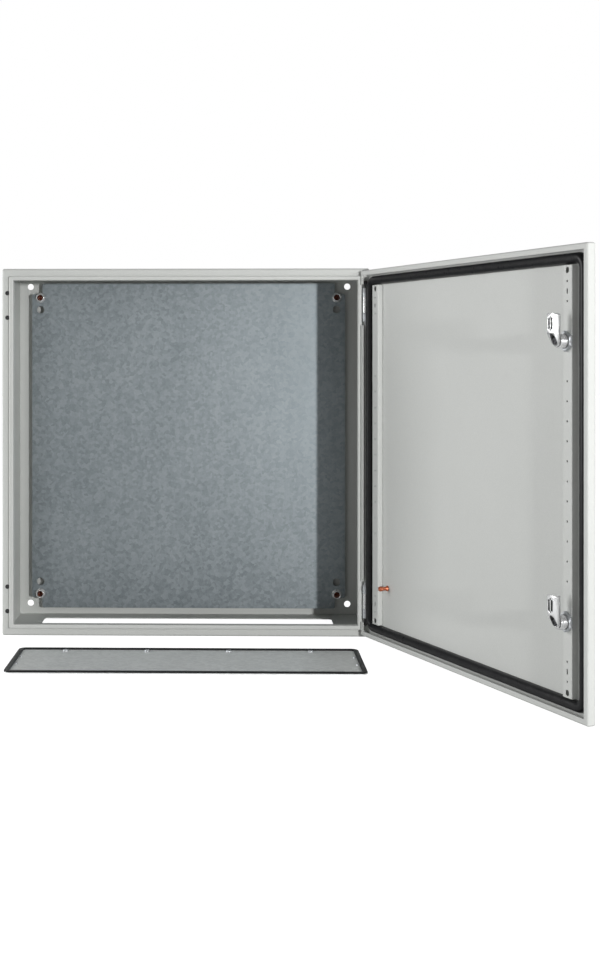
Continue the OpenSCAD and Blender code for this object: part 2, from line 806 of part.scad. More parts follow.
// Clinch nuts along the back edge
module gland_nuts() {
    nut_h = gland_gasket_h - 0.2;
    color(zinc) at_gland() for (i = [0:clinch_count - 1])
        translate([(i - (clinch_count - 1) / 2) * clinch_pitch, gland_d / 2 - clinch_inset, gland_t])
            difference() {
                union() {
                    cylinder(h = nut_h - 0.6, d = clinch_d);
                    translate([0, 0, nut_h - 0.6]) cylinder(h = 0.6, d1 = clinch_d, d2 = clinch_d - 1.2);
                }
                translate([0, 0, -over]) cylinder(h = nut_h + 2 * over, d = clinch_bore);
            }
}

// Small rivets at the two ends
module gland_rivets() {
    color(zinc) at_gland() for (x = [-1, 1], y = [-1, 1])
        translate([x * (gland_w / 2 - end_rivet_inset), y * end_rivet_pitch / 2, gland_t])
            cylinder(h = gland_gasket_h - 0.4, d = end_rivet_d);
}

enclosure_frame();
rear_panel();
plate_studs();
stud_sleeves();
mounting_plate();
plate_nuts();
hinge_hole_plugs();
hinge_knuckles(hinge_zs[0]);  // upper_hinge_knuckles
hinge_knuckles(hinge_zs[1]);  // lower_hinge_knuckles
hinge_pin(hinge_zs[0], 1);  // upper_hinge_pin
hinge_pin(hinge_zs[1], -1);  // lower_hinge_pin
hinge_cap(hinge_zs[0], 1);  // upper_hinge_cap
hinge_cap(hinge_zs[1], -1);  // lower_hinge_cap
hinge_screws();
door_shell();
door_gasket();
hinge_side_rail();
lock_side_rail();
door_earth_stud();
hinge_bracket(hinge_zs[0]);  // upper_hinge_bracket
hinge_bracket(hinge_zs[1]);  // lower_hinge_bracket
lock_housing(lock_zs[0]);  // upper_lock_housing
lock_seal(lock_zs[0]);  // upper_lock_seal
lock_nut(lock_zs[0]);  // upper_lock_nut
lock_spindle(lock_zs[0]);  // upper_lock_spindle
lock_cam(lock_zs[0]);  // upper_lock_cam
cam_screw(lock_zs[0]);  // upper_cam_screw
lock_housing(lock_zs[1]);  // lower_lock_housing
lock_seal(lock_zs[1]);  // lower_lock_seal
lock_nut(lock_zs[1]);  // lower_lock_nut
lock_spindle(lock_zs[1]);  // lower_lock_spindle
lock_cam(lock_zs[1]);  // lower_lock_cam
cam_screw(lock_zs[1]);  // lower_cam_screw
gland_plate();
gland_gasket();
gland_nuts();
gland_rivets();
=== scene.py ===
import json
import math

import bmesh
import bpy
from mathutils import Matrix, Vector, noise


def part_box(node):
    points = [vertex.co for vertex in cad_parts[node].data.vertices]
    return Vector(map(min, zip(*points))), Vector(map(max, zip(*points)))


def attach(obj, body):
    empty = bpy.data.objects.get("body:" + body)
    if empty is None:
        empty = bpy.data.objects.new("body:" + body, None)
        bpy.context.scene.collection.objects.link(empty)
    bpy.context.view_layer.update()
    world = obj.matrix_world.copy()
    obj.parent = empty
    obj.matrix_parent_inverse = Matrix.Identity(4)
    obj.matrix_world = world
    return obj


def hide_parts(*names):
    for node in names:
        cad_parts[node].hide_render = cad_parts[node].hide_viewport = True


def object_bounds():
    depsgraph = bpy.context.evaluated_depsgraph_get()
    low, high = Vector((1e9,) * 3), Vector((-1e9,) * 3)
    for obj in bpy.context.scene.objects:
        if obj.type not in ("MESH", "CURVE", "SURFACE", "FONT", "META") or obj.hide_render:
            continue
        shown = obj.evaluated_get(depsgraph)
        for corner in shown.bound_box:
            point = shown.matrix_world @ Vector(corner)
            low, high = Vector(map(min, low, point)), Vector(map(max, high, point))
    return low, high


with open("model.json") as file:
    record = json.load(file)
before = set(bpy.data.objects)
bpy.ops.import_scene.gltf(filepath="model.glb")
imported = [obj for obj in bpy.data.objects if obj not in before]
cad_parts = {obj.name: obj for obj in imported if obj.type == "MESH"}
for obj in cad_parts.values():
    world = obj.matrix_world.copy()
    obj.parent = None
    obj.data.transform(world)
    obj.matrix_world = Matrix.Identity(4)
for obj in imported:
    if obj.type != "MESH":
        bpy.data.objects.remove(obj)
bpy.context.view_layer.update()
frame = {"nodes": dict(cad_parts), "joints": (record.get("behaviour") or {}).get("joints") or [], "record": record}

MM = 0.001

# ---------------------------------------------------------------- the door's closed place

hinge = next(joint for joint in frame["joints"] if joint["name"] == "door_hinge")
hinge_axis = Vector(hinge["pos_m"])
swing = Matrix.Translation(hinge_axis) @ Matrix.Rotation(
    math.radians(-hinge["range_deg"][0]), 4, "Z") @ Matrix.Translation(-hinge_axis)


def closed_box(node):
    """Corners of a door node with the door shut, where its faces are square to the body."""
    shut = swing.inverted()
    points = [shut @ vertex.co for vertex in frame["nodes"][node].data.vertices]
    low = Vector(min(p[i] for p in points) for i in range(3))
    high = Vector(max(p[i] for p in points) for i in range(3))
    return low, high


def middle(corners):
    return (corners[0] + corners[1]) / 2


def islands(node, along, gap=5 * MM):
    """Low and high corners of a node's separate solids, told apart by their distance along one axis."""
    rows = sorted((vertex.co for vertex in frame["nodes"][node].data.vertices), key=lambda co: co[along])
    groups = [[rows[0]]]
    for point in rows[1:]:
        if point[along] - groups[-1][-1][along] > gap:
            groups.append([])
        groups[-1].append(point)
    found = []
    for group in groups:
        low = Vector(min(p[i] for p in group) for i in range(3))
        high = Vector(max(p[i] for p in group) for i in range(3))
        found.append((low, high))
    return found


# ---------------------------------------------------------------- finishes


class Signal:
    """A value on its way through a finish. Sums and products of it become Math nodes."""

    def __init__(self, nodes, socket):
        self.nodes = nodes
        self.socket = socket

    def math(self, operation, first, second):
        return self.nodes.add("ShaderNodeMath", {"operation": operation}, {0: first, 1: second})

    def __add__(self, other):
        return self.math("ADD", self, other)

    __radd__ = __add__

    def __sub__(self, other):
        return self.math("SUBTRACT", self, other)

    def __rsub__(self, other):
        return self.math("SUBTRACT", other, self)

    def __mul__(self, other):
        return self.math("MULTIPLY", self, other)

    __rmul__ = __mul__

    def most(self, other):
        return self.math("MAXIMUM", self, other)

    def least(self, other):
        return self.math("MINIMUM", self, other)


class Nodes:
    """The nodes of one finish, lamp or sky."""

    def __init__(self, owner):
        owner.use_nodes = True
        self.tree = owner.node_tree
        self.tree.nodes.clear()

    def add(self, kind, settings=None, inputs=None, output=0):
        node = self.tree.nodes.new(kind)
        for key, value in (settings or {}).items():
            if key == "stops":
                self.stops(node.color_ramp, value)
            else:
                setattr(node, key, value)
        for key, value in (inputs or {}).items():
            if isinstance(value, Signal):
                self.tree.links.new(value.socket, node.inputs[key])
            else:
                node.inputs[key].default_value = value
        return Signal(self, node.outputs[output] if len(node.outputs) else None)

    def stops(self, ramp, stops):
        while len(ramp.elements) > 1:
            ramp.elements.remove(ramp.elements[-1])
        for place, tone in stops:
            element = ramp.elements[0] if place == stops[0][0] else ramp.elements.new(place)
            element.position = place
            element.color = (tone, tone, tone, 1) if isinstance(tone, float) else (*tone, 1)


class Finish(Nodes):
    """A surface finish, with the patterns that several materials share."""

    def __init__(self, name):
        self.material = bpy.data.materials.new(name)
        super().__init__(self.material)
        self.place = self.add("ShaderNodeTexCoord", output="Object")

    def stretched(self, x, y, z):
        return self.add("ShaderNodeMapping", None, {"Vector": self.place, "Scale": (x, y, z)})

    def cloud(self, scale, detail=2.0, rough=0.5, place=None):
        return self.add("ShaderNodeTexNoise", None, {
            "Vector": place or self.place, "Scale": scale, "Detail": detail, "Roughness": rough})

    def cells(self, scale, output="Distance", place=None):
        return self.add(
            "ShaderNodeTexVoronoi", None, {"Vector": place or self.place, "Scale": scale}, output)

    def levels(self, value, stops):
        return self.add("ShaderNodeValToRGB", {"stops": stops}, {0: value})

    def tint(self, factor, first, second):
        return self.add("ShaderNodeMix", {"data_type": "RGBA"}, {0: factor, 6: first, 7: second}, 2)

    def rounded(self, radius):
        """The normal over edges that are broken to this radius."""
        return self.add("ShaderNodeBevel", {"samples": 4}, {"Radius": radius})

    def edges(self, rounded):
        """1 on the broken edges, 0 on the flats."""
        flat = self.add("ShaderNodeNewGeometry", output="Normal")
        facing = self.add(
            "ShaderNodeVectorMath", {"operation": "DOT_PRODUCT"}, {0: rounded, 1: flat}, "Value")
        return ((1.0 - facing) * 9.0).least(1.0)

    def painted_recess_shade(self, depth):
        """0 in pockets deeper than they are wide, 1 on open faces: the mask for painted shade in recesses."""
        opened = self.add("ShaderNodeAmbientOcclusion", {"samples": 6}, {"Distance": depth}, "AO")
        return self.levels(opened, [(0.42, 0.0), (0.80, 1.0)])

    def bump(self, height, depth, normal=None):
        inputs = {"Height": height, "Strength": 1.0, "Distance": depth}
        if normal:
            inputs["Normal"] = normal
        return self.add("ShaderNodeBump", None, inputs)

    def surface(self, **sockets):
        shader = self.add("ShaderNodeBsdfPrincipled", None, {
            key.replace("_", " "): value for key, value in sockets.items()})
        self.add("ShaderNodeOutputMaterial", None, {"Surface": shader})
        return self.material


def powder_coat():
    """Light grey textured powder coat: fine grain, slow drift of tone, and a painted highlight that brightens the
    edges.
    """
    f = Finish("grey_powder_coat")
    drift = f.cloud(5.0, 3.0)
    grain = f.cloud(620.0, 3.0, 0.6)
    peel = f.cloud(260.0, 2.0)
    handling = f.levels(f.cloud(34.0, 6.0, 0.62), [(0.60, 0.0), (0.74, 1.0)])
    rounded = f.rounded(0.5 * MM)
    edge = f.edges(rounded)
    tone = 0.30 * drift + 0.70 * grain
    body = f.tint(tone, (0.500, 0.515, 0.495, 1), (0.655, 0.665, 0.645, 1))
    # Painted highlight: the broken edges are tinted lighter.
    edge_highlighted_coat = f.tint(edge * 0.30, body, (0.74, 0.75, 0.735, 1))
    colour = f.tint(handling * 0.05, edge_highlighted_coat, (0.42, 0.42, 0.40, 1))
    fine = f.bump(grain, 0.05 * MM, rounded)
    return f.surface(
        Base_Color=colour,
        Roughness=0.40 + 0.16 * grain + 0.06 * handling - 0.05 * edge,
        Normal=f.bump(peel, 0.06 * MM, fine))


def galvanised(name, dark, light, metal):
    """Zinc-dipped sheet: small frosted crystals under a duller, cloudy skin."""
    f = Finish(name)
    wander = f.cloud(90.0, 2.0)
    shifted = f.add("ShaderNodeVectorMath", {"operation": "MULTIPLY_ADD"}, {
        0: f.add("ShaderNodeCombineXYZ", None, {0: wander, 1: wander, 2: wander}),
        1: (3 * MM, 3 * MM, 3 * MM), 2: f.place})
    crystal = f.add("ShaderNodeSeparateColor", None, {0: f.cells(190.0, "Color", shifted)})
    seam = f.levels(f.cells(190.0, "Distance", shifted), [(0.25, 0.0), (0.85, 1.0)])
    frost = f.cloud(310.0, 4.0, 0.65)
    patch = f.cloud(9.0, 3.0)
    rolled = f.cloud(26.0, 3.0, 0.6, f.stretched(1.0, 1.0, 0.12))
    rounded = f.rounded(0.4 * MM)
    edge = f.edges(rounded)
    tone = 0.26 * crystal + 0.40 * frost + 0.16 * patch + 0.18 * rolled
    skin = f.tint(f.levels(tone, [(0.30, 0.0), (0.70, 1.0)]), (*dark, 1), (*light, 1))
    # Painted highlight: the broken edges are tinted lighter.
    colour = f.tint(edge * 0.45, skin, (0.62, 0.64, 0.66, 1))
    return f.surface(
        Base_Color=colour, Metallic=metal,
        Roughness=0.32 + 0.20 * frost + 0.08 * crystal - 0.10 * edge,
        Normal=f.bump(frost + 0.35 * seam, 0.03 * MM, rounded))


def zinc_plate():
    """Bright zinc on small turned and pressed parts, faintly blue with duller blooms."""
    f = Finish("bright_zinc")
    bloom = f.levels(f.cloud(140.0, 4.0, 0.6), [(0.42, 0.0), (0.66, 1.0)])
    fine = f.cloud(1500.0, 2.0)
    rounded = f.rounded(0.25 * MM)
    edge = f.edges(rounded)
    plate = f.tint(bloom, (0.52, 0.54, 0.56, 1), (0.36, 0.37, 0.38, 1))
    # Painted highlight: the broken edges are tinted lighter.
    return f.surface(
        Base_Color=f.tint(edge * 0.5, plate, (0.70, 0.71, 0.72, 1)), Metallic=0.92,
        Roughness=0.42 + 0.14 * bloom + 0.08 * fine,
        Normal=f.bump(fine, 0.02 * MM, rounded))


def chrome():
    """Chromed die casting: mirror-bright, with hairline scratches and a soft casting waviness, and painted shade,
    near-black, in its pockets.
    """
    f = Finish("chromed_casting")
    wave = f.cloud(120.0, 2.0)
    hair = f.levels(f.cloud(420.0, 3.0, 0.7, f.stretched(1.0, 1.0, 0.07)), [(0.58, 0.0), (0.70, 1.0)])
    smudge = f.cloud(60.0, 3.0)
    rounded = f.rounded(0.45 * MM)
    bright = f.tint(hair * 0.4, (0.90, 0.905, 0.91, 1), (0.72, 0.73, 0.74, 1))
    # Painted shade: the base colour goes near-black in pockets.
    return f.surface(
        Base_Color=f.tint(f.painted_recess_shade(6 * MM), (0.04, 0.038, 0.036, 1), bright), Metallic=0.82,
        Roughness=0.16 + 0.12 * smudge + 0.10 * hair,
        Normal=f.bump(wave + 0.2 * hair, 0.05 * MM, rounded))


def copper_coat():
    """Thin copper flash on weld studs, browned in random patches, with a painted highlight on the crests and
    painted shade, near-black, in the hollows.
    """
    f = Finish("copper_flash")
    brown = f.levels(f.cloud(330.0, 5.0, 0.65), [(0.40, 0.0), (0.64, 1.0)])
    fine = f.cloud(1300.0, 2.0)
    rounded = f.rounded(0.2 * MM)
    edge = f.edges(rounded)
    skin = f.tint(brown, (0.78, 0.26, 0.14, 1), (0.40, 0.09, 0.05, 1))
    # Painted highlight: the broken edges and thread crests are tinted lighter.
    edge_highlighted_copper = f.tint(edge * 0.5, skin, (0.90, 0.42, 0.30, 1))
    # Painted shade: the base colour goes near-black in hollows.
    return f.surface(
        Base_Color=f.tint(f.painted_recess_shade(5 * MM), (0.012, 0.008, 0.008, 1), edge_highlighted_copper), Metallic=0.9,
        Roughness=0.26 + 0.22 * brown + 0.08 * fine,
        Normal=f.bump(fine + brown, 0.03 * MM, rounded))


def foam():
    """Poured polyurethane foam: black, with a closed satin skin full of small pores."""
    f = Finish("black_foam")
    pores = f.levels(f.cells(1500.0), [(0.05, 0.0), (0.42, 1.0)])
    lumps = f.cloud(210.0, 3.0)
    dust = f.levels(f.cloud(75.0, 5.0, 0.65), [(0.50, 0.0), (0.78, 1.0)])
    skin = f.tint(pores, (0.004, 0.004, 0.0045, 1), (0.014, 0.014, 0.015, 1))
    return f.surface(
        Base_Color=f.tint(dust * 0.30, skin, (0.045, 0.045, 0.045, 1)),
        Roughness=0.24 + 0.10 * lumps + 0.12 * dust, Specular_IOR_Level=0.16,
        Normal=f.bump(0.45 * pores + lumps, 0.06 * MM))


def moulded_black(name, tone, rough):
    """Moulded black plastic or rubber with a fine eroded texture."""
    f = Finish(name)
    erosion = f.cloud(1100.0, 3.0, 0.6)
    scuff = f.levels(f.cloud(160.0, 5.0, 0.7), [(0.58, 0.0), (0.72, 1.0)])
    rounded = f.rounded(0.25 * MM)
    edge = f.edges(rounded)
    base = f.tint(erosion, (tone, tone, tone, 1), (tone * 1.8, tone * 1.8, tone * 1.9, 1))
    # Painted highlight on the broken edges; the lighter random scuffs are wear.
    return f.surface(
        Base_Color=f.tint((edge * 0.25).most(scuff * 0.2), base, (0.10, 0.10, 0.10, 1)),
        Roughness=rough + 0.15 * erosion - 0.05 * scuff,
        Normal=f.bump(erosion, 0.04 * MM, rounded))


def blackened_steel():
    """Black-oxide screw, lighter on its broken edges as a painted highlight."""
    f = Finish("blackened_steel")
    fine = f.cloud(1200.0, 3.0)
    rounded = f.rounded(0.25 * MM)
    edge = f.edges(rounded)
    # Painted highlight: the broken edges are tinted lighter.
    return f.surface(
        Base_Color=f.tint(edge * 0.7, f.tint(fine, (0.030, 0.030, 0.032, 1), (0.075, 0.075, 0.08, 1)),
                          (0.42, 0.42, 0.43, 1)),
        Metallic=0.8, Roughness=0.34 + 0.20 * fine - 0.08 * edge,
        Normal=f.bump(fine, 0.02 * MM, rounded))


FINISHES = {
    "body_paint": powder_coat(),
    "galvanised": galvanised("galvanised_sheet", (0.150, 0.175, 0.188), (0.262, 0.292, 0.307), 0.70),
    "zinc_plate": zinc_plate(),
    "bright_chrome": chrome(),
    "copper_plate": copper_coat(),
    "gasket_foam": foam(),
    "plug_plastic": moulded_black("black_plastic", 0.012, 0.34),
    "dark_screw": blackened_steel(),
}

for part in frame["record"]["subparts"]:
    node = frame["nodes"][part["node"]]
    for place in node.material_slots:
        place.material = FINISHES[part["material_slot"]]
for place in frame["nodes"]["gland_plate"].material_slots:
    place.material = galvanised("gland_plate_zinc", (0.70, 0.72, 0.71), (0.86, 0.88, 0.87), 0.45)

# ---------------------------------------------------------------- making pieces


def piece(name, shapes, slot, body, stands_for=(), crease=32):
    """One object from (points, faces, placing) shapes, riding on a body and finished for a slot."""
    points, faces = [], []
    for shape_points, shape_faces, placing in shapes:
        start = len(points)
        points += [placing @ Vector(point) for point in shape_points]
        faces += [[start + index for index in face] for face in shape_faces]
    mesh = bpy.data.meshes.new(name)
    mesh.from_pydata(points, [], faces)
    mesh.validate()
    mesh.shade_smooth()
    mesh.set_sharp_from_angle(angle=math.radians(crease))
    mesh.materials.append(FINISHES[slot])
    made = bpy.data.objects.new(name, mesh)
    bpy.context.scene.collection.objects.link(made)
    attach(made, body)
    if stands_for:
        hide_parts(*stands_for)
    return made


def groove(turns):
    """Depth of a thread's groove, 0 on the crest and 1 at the root, over one turn."""
    return min(1.0, max(0.0, (0.5 - abs(turns % 1 - 0.5)) * 2.7 - 0.3))


def hexagon(turn):
    """Radius of a hexagon of inner radius 1 in a direction given in turns."""
    return 1 / math.cos((turn * 2 * math.pi) % (math.pi / 3) - math.pi / 6)


def turned(rings, segments=48, pitch=1.25 * MM, joined=False):
    """A piece turned about Z. A ring is (height, radius), optional thread depth and hexagon share."""
    points, faces = [], []
    for height, radius, *more in rings:
        cut = more[0] if more else 0.0
        hexed = more[1] if len(more) > 1 else 0.0
        for j in range(segments):
            turn = j / segments
            r = radius - cut * groove(height / pitch - turn)
            r *= 1 + hexed * (hexagon(turn) - 1)
            points.append((r * math.cos(turn * 2 * math.pi), r * math.sin(turn * 2 * math.pi), height))
    count = len(rings)
    for i in range(count if joined else count - 1):
        for j in range(segments):
            a, b = i * segments, ((i + 1) % count) * segments
            k = (j + 1) % segments
            faces.append((a + j, a + k, b + k, b + j))
    if not joined:
        faces.append(tuple(reversed(range(segments))))
        faces.append(tuple(range((count - 1) * segments, count * segments)))
    return points, faces


def threaded(start, end, radius, depth, pitch, chamfer=0.0):
    """Rings of a screw thread from start to end, with its far end turned down by chamfer."""
    steps = max(2, round(abs(end - start) / pitch * 8))
    rings = []
    for i in range(steps + 1):
        height = start + (end - start) * i / steps
        spare = max(0.0, chamfer - abs(end - height))
        rings.append((height, radius - spare, max(0.0, depth - spare)))
    return rings


def facing(point, direction, turn=0.0):
    """Placing that sets a turned piece's foot on a point and its axis along a direction."""
    tilt = Vector((0, 0, 1)).rotation_difference(Vector(direction)).to_matrix().to_4x4()
    return Matrix.Translation(Vector(point)) @ tilt @ Matrix.Rotation(turn, 4, "Z")


def round_loop(width, height, radius, step=7 * MM):
    """Points and outward directions round a rectangle with round corners, anticlockwise."""
    loop = []
    corners = [(1, 1, 0), (-1, 1, 1), (-1, -1, 2), (1, -1, 3)]
    for index, (sx, sy, quarter) in enumerate(corners):
        centre = (sx * (width / 2 - radius), sy * (height / 2 - radius))
        bends = 10
        for i in range(bends + 1):
            angle = (quarter + i / bends) * math.pi / 2
            out = (math.cos(angle), math.sin(angle))
            loop.append(((centre[0] + radius * out[0], centre[1] + radius * out[1]), out))
        nx, ny, _ = corners[(index + 1) % 4]
        after = (nx * (width / 2 - radius) + radius * out[0], ny * (height / 2 - radius) + radius * out[1])
        start = loop[-1][0]
        run = math.dist(start, after)
        for i in range(1, int(run / step)):
            share = i / int(run / step)
            place = (start[0] + (after[0] - start[0]) * share, start[1] + (after[1] - start[1]) * share)
            loop.append((place, out))
    return loop


def bead(loop, section, lay):
    """A closed strip: section(i, point) gives its (out, up) points, lay turns (a, b, up) into a place."""
    points, faces = [], []
    for i, (spot, out) in enumerate(loop):
        for across, up in section(i, spot):
            points.append(lay(spot[0] + out[0] * across, spot[1] + out[1] * across, up))
    ring = len(points) // len(loop)
    for i in range(len(loop)):
        for j in range(ring):
            a, b = i * ring, ((i + 1) % len(loop)) * ring
            k = (j + 1) % ring
            faces.append((a + j, b + j, b + k, a + k))
    return points, faces


def wander(point, scale, seed):
    """Smooth chance variation between -1 and 1 along a bead."""
    return noise.noise(Vector((point[0] * scale, point[1] * scale, seed)))


# ---------------------------------------------------------------- mounting plate fixings

frame_low, frame_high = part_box("enclosure_frame")
M8_PITCH, M8_DEPTH, M8_R = 1.25 * MM, 0.7 * MM, 4 * MM
FRONT, BACK = Vector((0, -1, 0)), Vector((0, 1, 0))

stud_low, stud_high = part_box("plate_studs")
COLLAR_R = 5 * MM
stud_length = stud_high.y - stud_low.y
stud_rings = [(0, COLLAR_R), (1.0 * MM, COLLAR_R), (1.5 * MM, COLLAR_R - 0.6 * MM)]
stud_end = stud_length - 2.6 * MM
stud_rings += threaded(1.8 * MM, stud_end, M8_R, M8_DEPTH, M8_PITCH, 0.8 * MM)
stud_rings += [(stud_end, 3.2 * MM), (stud_end - 0.4 * MM, 2.9 * MM), (stud_end - 7 * MM, 2.8 * MM),
               (stud_end - 7.5 * MM, 0.3 * MM)]
stud_places = [(side * (stud_high.x - COLLAR_R), row * (stud_high.z - COLLAR_R))
               for side in (-1, 1) for row in (-1, 1)]
piece("threaded_plate_studs",
      [(*turned(stud_rings, 36), facing((x, stud_high.y, z), FRONT)) for x, z in stud_places],
      "copper_plate", "enclosure", ["plate_studs"])

nut_low, nut_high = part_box("plate_nuts")
nut_h = nut_high.y - nut_low.y
NUT_FLANGE_R, NUT_FLAT_R = 8.8 * MM, 6.5 * MM
nut_rings = [
    (0, M8_R + 0.1 * MM), (0, NUT_FLANGE_R - 0.4 * MM), (0.35 * MM, NUT_FLANGE_R), (1.0 * MM, NUT_FLANGE_R),
    (1.3 * MM, NUT_FLANGE_R - 0.3 * MM), (2.9 * MM, NUT_FLAT_R + 0.7 * MM, 0, 0.1),
    (3.2 * MM, NUT_FLAT_R, 0, 1), (nut_h - 1.1 * MM, NUT_FLAT_R, 0, 1),
    (nut_h - 0.5 * MM, NUT_FLAT_R, 0, 0.55), (nut_h - 0.12 * MM, NUT_FLAT_R - 0.15 * MM, 0, 0.1),
    (nut_h, NUT_FLAT_R - 0.45 * MM), (nut_h - 0.1 * MM, M8_R + 1.6 * MM),
    (nut_h - 1.6 * MM, M8_R + 0.5 * MM), (nut_h - 2.6 * MM, M8_R + 0.1 * MM)]
piece("flange_nuts",
      [(*turned(nut_rings, 72, joined=True), facing((x, nut_high.y, z), FRONT, 0.4 + 0.7 * n))
       for n, (x, z) in enumerate(stud_places)],
      "bright_chrome", "enclosure", ["plate_nuts"])

# ---------------------------------------------------------------- hinge screws

screw_shapes = []
for low, high in islands("hinge_screws", 2):
    head_y = high.y
    radius = (high.z - low.z) / 2
    shank = head_y - low.y
    rings = [(0.9 * MM, 0.4 * MM, 0, 1), (0.9 * MM, 1.25 * MM, 0, 1), (0.05 * MM, 1.3 * MM, 0, 1),
             (0, 1.45 * MM), (0, radius - 0.7 * MM), (0.25 * MM, radius - 0.2 * MM), (0.8 * MM, radius),
             (2.0 * MM, radius), (2.0 * MM, 1.5 * MM)]
    rings += threaded(2.1 * MM, shank, 1.5 * MM, 0.28 * MM, 0.5 * MM, 0.4 * MM)
    seat = ((low.x + high.x) / 2, head_y, (low.z + high.z) / 2)
    screw_shapes.append((*turned(rings, 36, 0.5 * MM), facing(seat, FRONT)))
piece("hinge_screw_set", screw_shapes, "zinc_plate", "enclosure", ["hinge_screws"])

# ---------------------------------------------------------------- plugs in the unused hinge holes

# The plugs seat on the flange, which lies this far behind the crest of the sealing ridge.
RIDGE_H = 6.5 * MM
PLUG_BRIM, PLUG_EDGE, PLUG_DOME, PLUG_STEPS = 0.45 * MM, -0.25 * MM, -0.9 * MM, 6
flange_y = frame_low.y + RIDGE_H
plug_shapes = []
for low, high in islands("hinge_hole_plugs", 2):
    rim = (high.z - low.z) / 2 + PLUG_BRIM
    rings = [(3 * MM, 2.2 * MM), (0, 2.4 * MM), (0, rim - 0.2 * MM), (PLUG_EDGE, rim)]
    for i in range(1, PLUG_STEPS):
        angle = math.pi / 2 * i / PLUG_STEPS
        rings.append((PLUG_EDGE + PLUG_DOME * math.sin(angle), rim * math.cos(angle) ** 0.7))
    rings += [(PLUG_EDGE + PLUG_DOME, 0.2 * MM)]
    seat = ((low.x + high.x) / 2, flange_y, (low.z + high.z) / 2)
    plug_shapes.append((*turned(rings, 36), facing(seat, BACK)))
piece("push_in_plugs", plug_shapes, "plug_plastic", "enclosure", ["hinge_hole_plugs"], crease=50)

# ---------------------------------------------------------------- ground corner welds on the ridge

RIDGE_OUT, RIDGE_W = 12.5 * MM, 7.0 * MM


def corner_weld(sx, sz):
    """A low, dressed weld along a mitre of the sealing ridge, a hair proud of it."""
    points, faces = [], []
    count, across = 15, 6
    for i in range(count + 1):
        share = i / count
        depth = RIDGE_OUT + 1.6 * MM + (RIDGE_W - 3.2 * MM) * share
        half = (0.75 + 0.22 * wander((i * 0.9, sx * 3.0), 1.0, sz * 5.0)) * MM
        rise = (0.10 + 0.05 * wander((i * 0.8, sz * 7.0), 1.0, sx * 2.0)) * MM
        rise *= math.sin(math.pi * min(1.0, share * 0.9 + 0.05))
        for j in range(across + 1):
            side = -1 + 2 * j / across
            off = half * side / math.sqrt(2)
            points.append((
                sx * (frame_high.x - depth + off), frame_low.y - rise * (1 - side * side) + 0.02 * MM,
                sz * (frame_high.z - depth - off)))
    for i in range(count):
        for j in range(across):
            a = i * (across + 1) + j
            faces.append((a, a + 1, a + across + 2, a + across + 1))
    return points, faces, Matrix.Identity(4)


piece("ridge_corner_welds", [corner_weld(sx, sz) for sx in (-1, 1) for sz in (-1, 1)],
      "body_paint", "enclosure")

# ---------------------------------------------------------------- door gasket

gasket_low, gasket_high = closed_box("door_gasket")
GASKET_W, GASKET_BEND = 15 * MM, 13.5 * MM
# The pour starts and ends here, on the gasket's lower side.
SEAM_X, SEAM_SPREAD, LOWER_SIDE = 0.09, 7 * MM, -0.25
gasket_rise = gasket_high.y - gasket_low.y
gasket_mid = middle((gasket_low, gasket_high))


def door_bead(i, spot):
    """Half-round foam bead, wavy, a little lower and narrower than its solid, with a seam below."""
    seam = math.exp(-((spot[0] - SEAM_X) / SEAM_SPREAD) ** 2) if spot[1] < LOWER_SIDE else 0.0
    rise = gasket_rise * (0.975 + 0.018 * wander(spot, 21.0, 1.5) - 0.035 * seam)
    half = GASKET_W / 2 * (0.965 + 0.025 * wander(spot, 34.0, 9.0))
    lean = 0.35 * MM * wander(spot, 17.0, 4.0)
    section = []
    steps = 14
    for j in range(steps + 1):
        angle = math.pi * j / steps
        ripple = 1 + 0.008 * wander(spot, 150.0, j * 3.0)
        across = half * math.copysign(abs(math.cos(angle)) ** 0.85, math.cos(angle)) * ripple
        section.append((across + lean * math.sin(angle), rise * math.sin(angle) ** 0.9 * min(1.0, ripple)))
    return section


loop = round_loop(gasket_high.x - gasket_low.x - GASKET_W, gasket_high.z - gasket_low.z - GASKET_W,
                  GASKET_BEND, 5 * MM)
piece("poured_door_gasket",
      [(*bead(loop, door_bead, lambda a, b, up: (gasket_mid.x + a, gasket_low.y + up, gasket_mid.z + b)),
        swing)],
      "gasket_foam", "door", ["door_gasket"], crease=60)

# ---------------------------------------------------------------- earth stud

earth_low, earth_high = closed_box("door_earth_stud")
earth_len = earth_high.y - earth_low.y
EARTH_R = 4 * MM
earth_rings = [(0, EARTH_R + 0.5 * MM), (0.8 * MM, EARTH_R + 0.45 * MM), (1.5 * MM, EARTH_R - 0.1 * MM)]
for i in range(1, 12):
    share = i / 12
    waist = 0.95 * MM * math.sin(math.pi * share) ** 0.7
    earth_rings.append((1.5 * MM + share * (earth_len - 5.3 * MM), EARTH_R - 0.1 * MM - waist))
earth_rings += threaded(earth_len - 3.8 * MM, earth_len, EARTH_R, 0.35 * MM, M8_PITCH, 0.8 * MM)
earth_rings += [(earth_len, 2.3 * MM), (earth_len - 1.0 * MM, 1.2 * MM)]
earth_foot = (middle((earth_low, earth_high)).x, earth_low.y, middle((earth_low, earth_high)).z)
piece("earth_stud", [(*turned(earth_rings, 40), swing @ facing(earth_foot, BACK))],
      "copper_plate", "door", ["door_earth_stud"])

# ---------------------------------------------------------------- locks

BARREL_PITCH, BARREL_DEPTH = 1.5 * MM, 0.4 * MM
CAM_W, SQUARE_TOP = 14 * MM, 2.75 * MM


def prism(outline, start, end, lift):
    """An outline pushed from start to end; lift turns (a, b, along) into a point."""
    count = len(outline)
    points = [lift(a, b, start) for a, b in outline] + [lift(a, b, end) for a, b in outline]
    faces = [tuple(reversed(range(count))), tuple(range(count, 2 * count))]
    faces += [(i, (i + 1) % count, count + (i + 1) % count, count + i) for i in range(count)]
    return points, faces


def arc(a, b, radius, start, end, steps=12):
    turns = [math.radians(start + (end - start) * i / steps) for i in range(steps + 1)]
    return [(a + radius * math.cos(turn), b + radius * math.sin(turn)) for turn in turns]


